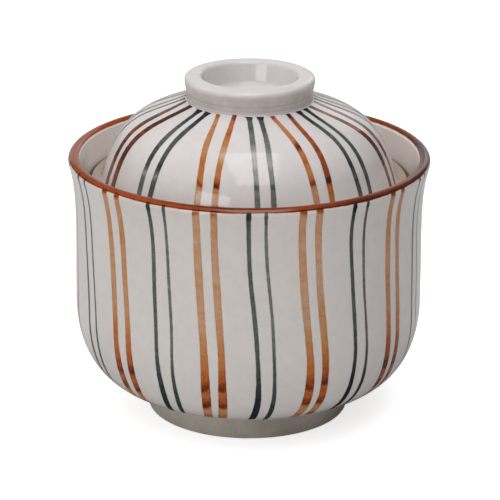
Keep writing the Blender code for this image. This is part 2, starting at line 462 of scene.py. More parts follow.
class NodeBoard:
    """A node tree that is being wired."""

    def __init__(self, tree: bpy.types.NodeTree) -> None:
        """Takes the tree to add nodes to."""
        self.tree = tree

    def fill(self, node: bpy.types.Node, inputs: dict[Any, Any]) -> None:
        """Links inputs of a node to wires, or sets their values.

        Args:
            node: The node.
            inputs: Values or wires, by name or number of the input.
        """
        for name, value in inputs.items():
            if isinstance(value, Wire):
                self.tree.links.new(value.socket, node.inputs[name])
            else:
                node.inputs[name].default_value = value

    def node(self, kind: str, inputs: dict[Any, Any], **settings: Any) -> bpy.types.Node:
        """Adds a shader node.

        Args:
            kind: Its type.
            inputs: Values or wires for its inputs, by name or number.
            settings: Its own properties.

        Returns:
            The node.
        """
        made = self.tree.nodes.new("ShaderNode" + kind)
        for name, value in settings.items():
            setattr(made, name, value)
        self.fill(made, inputs)
        return made

    def wire(self, node: bpy.types.Node, output: str | int = 0) -> Wire:
        """What a node gives."""
        return Wire(self, node.outputs[output])

    def math(self, operation: str, *values: Any) -> Wire:
        """A sum or other operation on numbers."""
        return self.wire(self.node("Math", dict(enumerate(values)), operation=operation))

    def place(self, kind: str = "Object") -> Wire:
        """Where a point of the surface is, or where a ray looks."""
        return self.wire(self.node("TexCoord", {}), kind)

    def attribute(self, name: str, output: str = "Fac") -> Wire:
        """An attribute of the piece."""
        return self.wire(self.node("Attribute", {}, attribute_name=name), output)

    def noise(self, vector: Wire, scale: float, detail: float = 2.0, roughness: float = 0.5) -> Wire:
        """Soft noise from 0 to 1, mostly near the middle."""
        inputs = {"Vector": vector, "Scale": scale, "Detail": detail, "Roughness": roughness}
        return self.wire(self.node("TexNoise", inputs), "Fac")

    def vector(self, x: Any, y: Any, z: Any) -> Wire:
        """A vector from three numbers."""
        return self.wire(self.node("CombineXYZ", {0: x, 1: y, 2: z}))

    def split(self, vector: Wire) -> list[Wire]:
        """The three numbers of a vector."""
        made = self.node("SeparateXYZ", {0: vector})
        return [self.wire(made, index) for index in range(3)]

    def towards(self, vector: Wire, direction: Triple) -> Wire:
        """How far a vector goes in a direction."""
        made = self.node("VectorMath", {0: vector, 1: direction}, operation="DOT_PRODUCT")
        return self.wire(made, "Value")

    def blend(self, share: Any, first: Any, second: Any, kind: str = "MIX") -> Wire:
        """A mix of two colours."""
        inputs = {0: share, 6: first, 7: second}
        return self.wire(self.node("Mix", inputs, data_type="RGBA", blend_type=kind, clamp_factor=True), 2)

    def ramp(self, value: Wire, stops: Sequence[tuple[float, Colour]]) -> Wire:
        """A colour that goes from stop to stop.

        Args:
            value: What picks the colour.
            stops: Positions and colours.

        Returns:
            The colour.
        """
        made = self.node("ValToRGB", {0: value})
        elements = made.color_ramp.elements
        while len(elements) < len(stops):
            elements.new(0.5)
        for element, (position, colour) in zip(elements, stops):
            element.position = position
            element.color = colour
        return self.wire(made)

    def bump(self, height: Wire, strength: float) -> Wire:
        """The normal of a surface with fine relief."""
        inputs = {"Strength": strength, "Distance": RELIEF_DEPTH, "Height": height}
        return self.wire(self.node("Bump", inputs))


def from_screen(red: int, green: int, blue: int) -> Colour:
    """A colour as nodes take it, from its look on a screen, 0 to 255."""
    shares = [level / 255 for level in (red, green, blue)]
    return (*(s / 12.92 if s <= 0.04045 else ((s + 0.055) / 1.055) ** 2.4 for s in shares), 1.0)


def new_group(
    name: str, inputs: dict[str, Any], outputs: dict[str, str]
) -> tuple[NodeBoard, list[Wire], bpy.types.Node]:
    """Starts a shader node group.

    Args:
        name: Name of the group.
        inputs: Starting value of each input, a number or a colour.
        outputs: Socket type of each output.

    Returns:
        The board to wire it on, the wires of its inputs in order, and its output node.
    """
    tree = bpy.data.node_groups.new(name, "ShaderNodeTree")
    for title, value in inputs.items():
        kind = FLOAT if isinstance(value, float) else COLOUR
        tree.interface.new_socket(name=title, in_out="INPUT", socket_type=kind).default_value = value
    for title, kind in outputs.items():
        tree.interface.new_socket(name=title, in_out="OUTPUT", socket_type=kind)
    board = NodeBoard(tree)
    taken = tree.nodes.new("NodeGroupInput")
    return board, [board.wire(taken, title) for title in inputs], tree.nodes.new("NodeGroupOutput")


def new_material(name: str) -> tuple[bpy.types.Material, NodeBoard, bpy.types.Node]:
    """Starts a material.

    Args:
        name: Its name.

    Returns:
        The material, the board to wire it on, and its shader.
    """
    made = bpy.data.materials.new(name)
    made.use_nodes = True
    return made, NodeBoard(made.node_tree), made.node_tree.nodes["Principled BSDF"]


# Finishes


@dataclass(frozen=True)
class BrushPaint:
    """The two pigments under the glaze, from thin paint to thick."""

    rust: tuple[tuple[float, Colour], ...] = (
        (0.00, from_screen(198, 164, 132)),
        (0.25, from_screen(180, 137, 101)),
        (0.45, from_screen(174, 118, 72)),
        (0.62, from_screen(168, 94, 42)),
        (0.78, from_screen(138, 62, 20)),
        (0.92, from_screen(98, 40, 10)),
        (1.00, from_screen(66, 25, 7)),
    )
    green: tuple[tuple[float, Colour], ...] = (
        (0.00, from_screen(158, 158, 152)),
        (0.35, from_screen(106, 109, 102)),
        (0.55, from_screen(78, 83, 77)),
        (0.75, from_screen(44, 57, 58)),
        (0.90, from_screen(18, 30, 36)),
        (1.00, from_screen(6, 9, 26)),
    )
    marks: tuple[tuple[float, ...], ...] = (  # the loop in group names the columns
        (5.0, 0.35, 1.0, 2.0, 0.50, 0.20),  # streaks of the bristles
        (0.5, 0.80, 1.0, 3.0, 0.65, 0.42),  # puddles
        (1.0, 1.00, 7.0, 2.0, 0.50, 0.16),  # grain
    )
    edge_mm: float = 0.13  # half of the width over which a line's edge is soft
    ragged_mm: float = 0.2  # how far that edge strays
    apart: float = 17.3  # how far one line's noise is from the next one's

    def group(self) -> bpy.types.NodeTree:
        """Builds the group that lays the painted lines over a glaze colour.

        Returns:
            The group.
        """
        board, (glaze,), given = new_group("brush_paint", {"Glaze": WHITE}, {"Color": COLOUR, "Paint": FLOAT})
        offset, along, number = board.split(board.attribute("brush", "Vector"))
        half, load, pigment = board.split(board.attribute("stroke", "Vector"))
        far = number * self.apart
        side = board.math("ABSOLUTE", offset)
        drift = board.noise(board.vector(offset, along, far), 0.9, 3.0, 0.6)
        edge = side + (drift - 0.5) * self.ragged_mm - half
        mask = edge.spread(self.edge_mm, -self.edge_mm)

        share = board.math("DIVIDE", side, board.math("MAXIMUM", half, 0.05))
        paint = load + share.spread(0.5, 1.0, 0.0, 0.08)
        for across, down, scale, detail, roughness, most in self.marks:
            place = board.vector(offset * across, along * down, far)
            paint = paint + (board.noise(place, scale, detail, roughness) - 0.5) * most
        colour = board.blend(pigment, board.ramp(paint, self.rust), board.ramp(paint, self.green))
        mask = mask * paint.spread(-0.1, 0.45, 0.78, 1.0)
        board.fill(given, {"Color": board.blend(mask, glaze, colour), "Paint": mask})
        return board.tree


@dataclass(frozen=True)
class GlazeBody:
    """The warm grey-white glaze: tone, pooling and thinning with painted shade, and a slightly uneven
    surface.
    """

    warm: Colour = (0.62, 0.582, 0.555, 1.0)
    # thin glaze; also the painted shade on the lid's brim and on the knob's side
    thin_and_shade: Colour = from_screen(148, 128, 111)
    # pooled glaze; also the painted shade in the creases at the heel and at the knob's foot
    pooled_and_shade: Colour = from_screen(122, 123, 130)
    speck: Colour = from_screen(120, 98, 78)
    specks: float = 0.05  # share of the places for a speck that have one
    turns: float = 2600.0  # how close the throwing rings lie

    def group(self) -> bpy.types.NodeTree:
        """Builds the group that gives the bare glaze's colour, roughness and height.

        Returns:
            The group.
        """
        board, (tone, rings, sheen), given = new_group(
            "glaze_body",
            {"Tone": WHITE, "Rings": 0.2, "Sheen": 0.12},
            {"Color": COLOUR, "Roughness": FLOAT, "Height": FLOAT},
        )
        place = board.place()
        mottle = board.noise(place, 420.0, 3.0, 0.6)
        tone = board.blend(board.noise(place, 32.0).spread(0.3, 0.7, 0.0, 0.35), tone, self.warm)
        shade = mottle.spread(0.25, 0.75, 0.965, 1.02)
        tone = board.blend(1.0, tone, board.vector(shade, shade, shade), "MULTIPLY")

        # above 0 the glaze pools and below 0 it is thin; both also carry painted shade
        ragged = board.attribute("pool_and_shade") + (mottle - 0.5) * 0.25
        tone = board.blend(ragged.spread(0.15, 1.4, 0.0, 0.95), tone, self.pooled_and_shade)
        tone = board.blend(ragged.spread(-0.15, -1.0, 0.0, 0.9), tone, self.thin_and_shade)

        cells = board.node("TexVoronoi", {"Vector": place, "Scale": 210.0}, feature="F1")
        chosen = board.wire(board.node("SeparateColor", {0: board.wire(cells, "Color")}))
        rare = board.math("LESS_THAN", chosen, self.specks)
        dot = board.wire(cells, "Distance").spread(0.055, 0.02)
        tone = board.blend(rare * dot * 0.6, tone, self.speck)

        rough = sheen + board.noise(place, 90.0).spread(0.3, 0.7, -0.03, 0.05)
        turns = board.split(place)[2] * self.turns + board.noise(place, 45.0, 1.0) * 5.0
        height = board.noise(place, 650.0, 1.0) + board.math("SINE", turns) * rings
        board.fill(given, {"Color": tone, "Roughness": rough, "Height": height})
        return board.tree


@dataclass(frozen=True)
class IronLip:
    """The iron-brown band round the lip, and the glaze inside the mouth below it.

    The band is brick brown, dark where it lies thick and darker along its lower edge, with a fringe where
    it thins. Its darker right side and the darker front of its crest are painted shade. Inside the mouth the
    glaze is lightened as painted light, with painted shade where the lid's brim sits on the seat and a
    painted highlight just under the band. The directions come to 1 at the lip's edge, and the distances are
    counted over the lip from the band's start in the mouth.
    """

    body: Colour = from_screen(152, 66, 23)
    dark: Colour = from_screen(60, 21, 10)
    fringe: Colour = from_screen(214, 164, 130)
    # a painted highlight along the rounded inner edge of the lip
    painted_highlight: Colour = from_screen(250, 246, 243)
    # lighter and warmer than the glaze: painted light on the inner wall of the mouth
    inside: Colour = from_screen(222, 213, 207)
    # painted shade in the gap where the lid's brim sits on the seat
    seat_shade: Colour = from_screen(148, 129, 117)
    # right and far_right darken the band towards +X as painted shade; front darkens the crest at the front as
    # painted shade
    right: Triple = (24.4, -4.0, 0.0)
    far_right: Triple = (24.4, 0.0, 0.0)
    front: Triple = (-3.0, -24.2, 0.0)
    crest_mm: float = 1.8
    side_mm: float = 2.5
    low_mm: float = 2.8

    def over(self, board: NodeBoard, colour: Wire, paint: Wire, rough: Wire) -> tuple[Wire, Wire]:
        """Lays the band over a glaze.

        Args:
            board: The board of the material.
            colour: Colour under the band.
            paint: How much brushwork lies under the band.
            rough: Roughness beside the band.

        Returns:
            The colour and the roughness with the band on.
        """
        place = board.place()
        inside = board.attribute("lip_band")
        inner = board.attribute("lip_inner")
        depth = inside + (board.noise(place, 70.0) - 0.5) * 0.55 + (board.noise(place, 600.0) - 0.5) * 0.22
        band = depth.spread(-0.08, 0.10)
        fringe = depth.spread(-0.42, 0.0, 0.0, 0.6) * board.math("SUBTRACT", 1.0, paint)

        streaks = board.noise(place, 260.0, 3.0, 0.6).spread(0.4, 0.75, 0.0, 0.2)
        patches = board.noise(place, 40.0, 1.0).spread(0.4, 0.7, 0.0, 0.15)
        # painted shade: the band darkens towards the right, most of all on its crest
        right = board.towards(place, self.right).spread(0.2, 0.95, 0.0, 0.85)
        right = right * inner.spread(self.side_mm, self.crest_mm, 1.0, 0.45)
        far_right = board.towards(place, self.far_right).spread(0.85, 1.0, 0.0, 0.4)
        low = inner.spread(self.side_mm, self.low_mm, 0.0, 0.7)
        # painted shade: the crest darkens towards the front
        front = board.towards(place, self.front).spread(0.88, 1.0, 0.15, 0.8)
        crest = inner.spread(self.side_mm, self.crest_mm) * front
        under = paint * inside.spread(0.9, 0.1, 0.0, 0.45)
        burnt_and_shade = streaks + patches + right + low + far_right + board.math("MAXIMUM", crest, under)
        brown = board.blend(burnt_and_shade, self.body, self.dark)

        # painted shade at the seat, in the gap under the lid's brim
        seat_shade = inner.spread(-LIP_REACH_MM, -8.6) * inner.spread(-6.0, -6.6)
        # painted highlight just under the band inside the mouth
        painted_highlight = inner.spread(-0.65, -0.35) * inner.spread(0.1, -0.15)
        layers = (
            # painted light: the mouth's inner wall is lightened
            (inner.spread(0.0, -0.8, 0.0, 0.65), self.inside),
            (seat_shade, self.seat_shade),
            (painted_highlight, self.painted_highlight),
            (fringe, self.fringe),
            (band, brown),
        )
        for share, layer in layers:
            colour = board.blend(share, colour, layer)
        return colour, rough + band * 0.03


@dataclass(frozen=True)
class PaintedGlaze:
    """A glaze with brushwork under it, on one piece."""

    name: str
    tone: Colour
    sheen: float  # roughness of its surface
    rings: float  # how strong the throwing rings are
    lip: IronLip | None = None  # the band round the lip, if the piece has one
    ior: float = 1.5
    relief: float = 0.05  # strength of its fine relief

    def material(self, glaze: bpy.types.NodeTree, paint: bpy.types.NodeTree) -> bpy.types.Material:
        """Builds the material.

        Args:
            glaze: The group of the bare glaze.
            paint: The group of the brushwork.

        Returns:
            The new material.
        """
        made, board, shader = new_material(self.name)
        inputs = {"Tone": self.tone, "Rings": self.rings, "Sheen": self.sheen}
        bare = board.node("Group", inputs, node_tree=glaze)
        lines = board.node("Group", {"Glaze": board.wire(bare, "Color")}, node_tree=paint)
        colour = board.wire(lines, "Color")
        rough = board.wire(bare, "Roughness")
        if self.lip is not None:
            colour, rough = self.lip.over(board, colour, board.wire(lines, "Paint"), rough)
        relief = board.bump(board.wire(bare, "Height"), self.relief)
        board.fill(shader, {"Base Color": colour, "Roughness": rough, "IOR": self.ior, "Normal": relief})
        return made


@dataclass(frozen=True)
class BareClay:
    """Fired clay without glaze: matt, grey-beige, with sand in it and fine turning lines."""

    light: Colour = from_screen(190, 183, 172)
    dark: Colour = from_screen(168, 160, 149)
    sand: Colour = from_screen(96, 82, 70)
    turns: float = 9000.0  # how close the turning lines lie
    relief: float = 0.25  # strength of its fine relief

    def material(self) -> bpy.types.Material:
        """Builds the material.

        Returns:
            The new material.
        """
        made, board, shader = new_material("bare_clay")
        place = board.place()
        cloud = board.noise(place, 120.0, 3.0, 0.6)
        grit = board.noise(place, 2200.0, 2.0, 0.7)
        tone = board.blend(cloud.spread(0.35, 0.7), self.light, self.dark)
        tone = board.blend(grit.spread(0.62, 0.75, 0.0, 0.6), tone, self.sand)
        height = grit + board.math("SINE", board.split(place)[2] * self.turns) * 0.12
        rough = cloud.spread(0.3, 0.7, 0.62, 0.8)
        relief = board.bump(height, self.relief)
        board.fill(shader, {"Base Color": tone, "Roughness": rough, "Normal": relief})
        return made


# The fired pieces


@dataclass
class FiredPiece(ABC):
    """A piece of fired clay: a section that is turned, painted with pairs of lines and glazed.

    A fullness among its sizes is the length of a curve's two handles, as shares of the curve's reach.
    """

    name: ClassVar[str]
    glaze: ClassVar[PaintedGlaze]
    front: ClassVar[tuple[BrushPair, ...]]  # the pairs of lines that the front shows
    begin: ClassVar[str]  # the place where the lines begin
    strays: ClassVar[Range]  # how far a pair on the back lies from its even place
    leans: ClassVar[Range]  # how far the pairs on the back swing round
    back_gaps: ClassVar[Range | None] = None  # angle between the lines of a pair on the back
    back_second: ClassVar[float] = 0.0  # how much more paint the second rust line on the back carries
    slants: ClassVar[Range]  # between which the slants of its lines lie
    sags: ClassVar[Range]  # between which their sags lie
    soft_mm: ClassVar[Range] = (0.5, 4.0)  # heights where clay begins to give way to a hand, and fully does
    pair_count: int = 0
    section: Section = field(default_factory=Section)

    @abstractmethod
    def outline(self) -> None:
        """Draws the section."""

    @abstractmethod
    def course(self, brush: Brush) -> np.ndarray:
        """The angle of a line at each ring."""

    @abstractmethod
    def stroke(self, brush: Brush) -> tuple[np.ndarray, np.ndarray]:
        """The half width and the load of a line at each ring."""

    @abstractmethod
    def pour(self, turned: TurnedMesh) -> None:
        """Writes how the glaze lies."""

    def lines(self, turned: TurnedMesh, rng: Rng) -> list[BrushLine]:
        """Draws the pairs of lines: those on the front, and then those that go on round the back.

        Args:
            turned: The piece.
            rng: Source of the small irregularities.

        Returns:
            All lines, in order round the piece.
        """
        pairs = list(self.front)
        start = pairs[-1].angle
        missing = self.pair_count - len(pairs)
        step = (pairs[0].angle + 360 - start) / (missing + 1)
        for index in range(1, missing + 1):
            pigment = Pigment.RUST if index % 2 else Pigment.GREEN
            angle = start + index * step + rng.uniform(*self.strays)
            lean = rng.uniform(*self.leans)
            gap = rng.uniform(*self.back_gaps) if self.back_gaps else 0.0
            second = self.back_second if pigment is Pigment.RUST else 0.0
            pairs.append(BrushPair(pigment, angle, lean, gap, second=second))
        made = []
        for pair in pairs:
            for line, side in enumerate(SIDES):
                brush = Brush(pair, line, side, turned, rng)
                angle = self.course(brush)
                half, load = self.stroke(brush)
                slant, sag = brush.chance(*self.slants), brush.chance(*self.sags)
                made.append(BrushLine(pair.pigment, angle, half * pair.broad, load + pair.load, slant, sag))
        return made

    def build(self, wheel: Wheel) -> bpy.types.Object:
        """Draws the section and turns it on the wheel."""
        self.outline()
        return wheel.throw(self.name, self.section)

    def dress(
        self, piece: bpy.types.Object, wheel: Wheel, finishes: Sequence[bpy.types.Material], rng: Rng
    ) -> None:
        """Paints and glazes the piece, and leaves it slightly uneven.

        Args:
            piece: The turned piece.
            wheel: The wheel that it was turned on.
            finishes: Its glaze and the bare clay.
            rng: Source of the small irregularities.
        """
        turned = TurnedMesh(piece, self.section, self.begin)
        paint_lines(turned, self.lines(turned, rng))
        self.pour(turned)
        turned.lay_flat()
        give = np.round(smooth_step(*self.soft_mm, turned.rings[:, 1]), 2)
        wheel.unsettle(piece, give[turned.vertex_ring])
        for finish in finishes:
            piece.data.materials.append(finish)
        first, last = self.section.bare
        bare = (turned.face_ring > first) & (turned.face_ring < last)
        shown = np.where(bare, Surface.CLAY.value, Surface.GLAZE.value)
        piece.data.polygons.foreach_set("material_index", shown)


# The cup


CUP_PAIRS = (
    BrushPair(Pigment.RUST, -82.4, 3.2, 5.0, 0.22),
    BrushPair(Pigment.GREEN, -65.1, 3.9, 4.9, 0.12),
    BrushPair(Pigment.RUST, -47.3, 2.8, 5.7, 0.05),
    BrushPair(Pigment.GREEN, -29.2, 1.9, 5.4),
    BrushPair(Pigment.RUST, -13.5, 2.5, 5.6),
    BrushPair(Pigment.GREEN, 2.6, 3.6, 5.4),
    BrushPair(Pigment.RUST, 19.1, 4.2, 5.3),
    # the extra load of these right-hand pairs is partly painted shade of the cup's shaded side
    BrushPair(Pigment.GREEN, 36.4, 3.0, 4.8, 0.10),
    BrushPair(Pigment.RUST, 52.8, 2.5, 5.3, 0.14),
    BrushPair(Pigment.GREEN, 69.9, 1.5, 4.9, 0.12),
)


@dataclass
class Cup(FiredPiece):
    """The cup: body, foot ring, lip and the ledge that carries the lid."""

    name = "painted_cup"
    glaze = PaintedGlaze("cup_painted_glaze", from_screen(205, 201, 197), 0.08, 0.10, IronLip())
    front = CUP_PAIRS
    begin = "lip_widest"
    strays = (-0.9, 0.9)
    leans = (1.5, 4.2)
    back_gaps = (4.9, 5.6)
    slants = (-0.9, 0.9)
    sags = (0.2, 0.8)
    pair_count: int = 22
    lip_radius: float = 0.0410
    lip_height: float = 0.0608
    lip_thickness: float = 0.0028
    lip_lean: float = 16.0
    flare: float = 0.00154
    flare_fullness: Range = (0.32, 0.37)
    waist_height: float = 0.0435
    swell: float = 0.00011
    belly_height: float = 0.0289
    belly_fullness: Range = (0.35, 0.35)
    foot_radius: float = 0.02295
    foot_flare: float = 0.00095
    foot_height: float = 0.0060
    foot_width: float = 0.0042
    foot_chamfer: float = 0.0004
    foot_hollow: float = 0.0046
    heel_slope: float = 6.0
    heel_fullness: Range = (0.117, 1.11)
    wall: float = 0.0048
    well_fullness: Range = (0.74, 0.68)
    floor: float = 0.0048
    floor_radius: float = 0.0160
    mouth_taper: float = 0.00185
    seat_depth: float = 0.0083
    seat_round: float = 0.0005
    band_top: float = 24.0  # how far above the lip's widest place the brown band ends
    band_start_mm: float = 0.50  # where it begins, over the lip from the mouth's straight wall
    swing_mm: float = 44.0  # where the lines have swung right over
    curl_mm: float = 43.0  # where they begin to curl back
    curl: float = 0.016
    stroke_top_mm: float = -1.5
    stroke_end_mm: float = 54.0
    taper_mm: float = 0.8  # how far before its end a line narrows
    rust_half_mm: Range = (0.92, 0.86)  # half of the width of a pair's first and second line
    green_half_mm: Range = (0.49, 0.36)
    green_load: Range = (0.50, 0.38)  # paint that the first and the second line carry
    green_start: Range = (0.40, 0.14)  # most paint that gathers where a line starts
    rust_gathers: tuple[Triple, ...] = (  # where paint starts and stops gathering, and how much
        (36.5, 42.0, 0.30),
        (43.0, 47.5, 0.38),
        (50.5, 51.9, 0.42),
    )

    def outline(self) -> None:
        """Draws the section: from the middle of the floor over the lip to the hollow under the foot."""
        waist_radius = self.lip_radius - self.flare
        well_radius = waist_radius - self.wall
        floor_height = self.foot_hollow + self.floor
        seat_height = self.lip_height - self.seat_depth
        mouth_radius = self.lip_radius - self.lip_thickness - self.mouth_taper
        hollow_radius = self.foot_radius - self.foot_width
        lip_round = self.lip_thickness / 2
        lip_centre = point(self.lip_radius - lip_round, self.lip_height - lip_round)
        mouth_lean = math.degrees(math.atan2(self.mouth_taper, lip_centre.y - seat_height))
        waist = point(waist_radius, self.waist_height)
        belly = point(waist_radius + self.swell, self.belly_height)
        heel = point(self.foot_radius + self.foot_flare, self.foot_height)
        well = point(well_radius, self.belly_height)
        floor_edge = point(self.floor_radius, floor_height)
        section = self.section

        section.add([point(0, floor_height)])
        section.straight(floor_edge, 8)
        section.bend(0, -90, self.well_fullness, well, 26)
        seat_edge = point(well_radius + self.seat_round, seat_height - self.seat_round)
        section.straight(point(well_radius, seat_edge.y), 10)
        section.add(arc(seat_edge, self.seat_round, 180, 90, 5))
        seat_corner = point(mouth_radius - self.seat_round, seat_height + self.seat_round)
        section.add(arc(seat_corner, self.seat_round, -90, 0, 5))
        lip = arc(lip_centre, lip_round, 180 - mouth_lean, 0, 22)
        section.straight(lip[0], 14, "lip_inside")
        section.add(lip, "lip_widest")
        section.add(arc(lip_centre, lip_round, 0, -self.lip_lean, 3))
        section.bend(-90 - self.lip_lean, 90, self.flare_fullness, waist, 32)
        section.bend(-90, 90, self.belly_fullness, belly, 26)
        section.bend(-90, self.heel_slope, self.heel_fullness, heel, 56, "heel")
        tread = point(self.foot_radius, self.foot_chamfer)
        section.straight(tread, 8)
        chamfer = at_angle(0, self.foot_chamfer)
        section.add(arc(tread - chamfer, self.foot_chamfer, 0, -90, 4))
        inner = point(hollow_radius + self.foot_chamfer, self.foot_chamfer)
        section.add(arc(inner, self.foot_chamfer, -90, -180, 4))
        corner = point(hollow_radius - self.foot_chamfer, self.foot_hollow - self.foot_chamfer)
        section.straight(corner + chamfer, 4)
        section.add(arc(corner, self.foot_chamfer, 0, 90, 4))
        section.straight(point(0, self.foot_hollow), 8)
        section.bare = (section.places["heel"], len(section.points))

    def course(self, brush: Brush) -> np.ndarray:
        """Leads a line down the outside, where it swings over and curls back at its end.

        Args:
            brush: The brush on that line.

        Returns:
            Its angle at each ring.
        """
        pair = brush.pair
        hand = 0.06 * brush.waver(2.6, 3.4) + 0.15 * brush.waver(5.0, 7.5)
        swing = 0.5 * (1 - np.cos(np.pi * np.clip(brush.along, 0, self.swing_mm) / self.swing_mm))
        curl = -self.curl * np.clip(brush.along - self.curl_mm, 0, None) ** 2
        return pair.angle + brush.side * pair.gap + pair.lean * swing + curl + hand

    def stroke(self, brush: Brush) -> tuple[np.ndarray, np.ndarray]:
        """Paints a line from the lip to its end.

        Args:
            brush: The brush on that line.

        Returns:
            Its half width and its load of paint at each ring.
        """
        line = brush.line
        end = self.stroke_end_mm + brush.chance(-0.8, 0.8)
        swell = 1 + 0.05 * brush.waver(3.0, 5.0)
        if brush.pair.pigment is Pigment.RUST:
            half = self.rust_half_mm[line] * (0.94 + 0.18 * brush.rise(32, 45)) * swell
            load = 0.28 - 0.06 * brush.hump(15, 5) + 0.32 * brush.rise(24, 39) + 0.50 * brush.hump(-0.3, 0.5)
            for start, stop, most in self.rust_gathers:
                lower = stop + brush.chance(-0.5, 0.5)
                gathered = brush.rise(start, lower) * brush.rise(lower + 0.5, lower)
                load += brush.chance(0.7, 1.15) * most * gathered**1.6
            load -= 0.24 * brush.rise(47.6, 48.4)
            load += brush.chance(0.3, 0.6) * brush.hump(end - 0.5, 0.28)
        else:
            half = self.green_half_mm[line] * (1 + 0.55 * brush.rise(33, 49)) * swell
            half += 0.09 * brush.hump(0.4, 0.6)
            load = self.green_load[line] + 0.38 * brush.rise(26, 50) + 0.12 * brush.rise(6, 1)
            load += self.green_start[line] * brush.chance(0.3, 1.0) * brush.hump(0.4, 0.5)
        load += brush.dabs(3, (-0.07, 0.09), (3, 40), (1.5, 4.0))
        taper = np.clip((end - brush.along) / self.taper_mm, 0, 1) ** 0.5
        painted = (brush.along > self.stroke_top_mm) & (brush.along < end)
        return np.where(painted, half * taper, 0.0), load

    def pour(self, turned: TurnedMesh) -> None:
        """Writes where the lip's band lies, and that the glaze pools above the heel, darker also as painted
        shade.

        Args:
            turned: The cup.
        """
        along = turned.along
        from_inside = along - turned.at("lip_inside") - self.band_start_mm
        from_outside = -math.radians(self.band_top) * self.lip_thickness / 2 * MM - along
        turned.paint_rings("lip_band", np.minimum(from_inside, from_outside))
        turned.paint_rings("lip_inner", np.clip(from_inside, -LIP_REACH_MM, LIP_REACH_MM))
        # pooled glaze above the heel, darker also as painted shade in the crease
        turned.paint_rings("pool_and_shade", 0.9 * bell(turned.at("heel"), 0.9, along))


# The lid


LID_PAIRS = (
    BrushPair(Pigment.GREEN, -93.0, 0.0, load=0.05),
    BrushPair(Pigment.RUST, -70.6, -0.3, load=0.42, broad=1.5, fades=(0.10, 0.0), dab_and_reflection=-0.30, tail=0.10),
    BrushPair(
        Pigment.GREEN, -44.7, 0.8, load=0.10, broad=1.2, second=0.08, fades=(0.10, 0.10), dab_and_reflection=-0.28,
        tail=-0.10,
    ),
    BrushPair(Pigment.RUST, -16.7, -3.3, second=0.22, fades=(0.0, 0.42), dab_and_reflection=0.06),
    # lighter than the others: thinner paint, and partly a painted highlight where the dome's highlight
    # crosses it
    BrushPair(Pigment.GREEN, 6.3, -1.6, load=-0.14, second=0.06, fades=(0.32, 0.10), dab_and_reflection=0.34),
    BrushPair(Pigment.RUST, 30.5, -2.4, load=0.10, second=0.26, fades=(0.12, 0.0), dab_and_reflection=0.12),
    BrushPair(Pigment.GREEN, 51.8, 0.4, load=0.10, broad=1.1, fades=(0.06, 0.04)),
    BrushPair(Pigment.RUST, 76.5, -2.2, load=0.36, broad=1.4, second=0.06, dab_and_reflection=-0.20, tail=0.16),
    BrushPair(Pigment.GREEN, 95.5, 0.5, load=0.05),
)


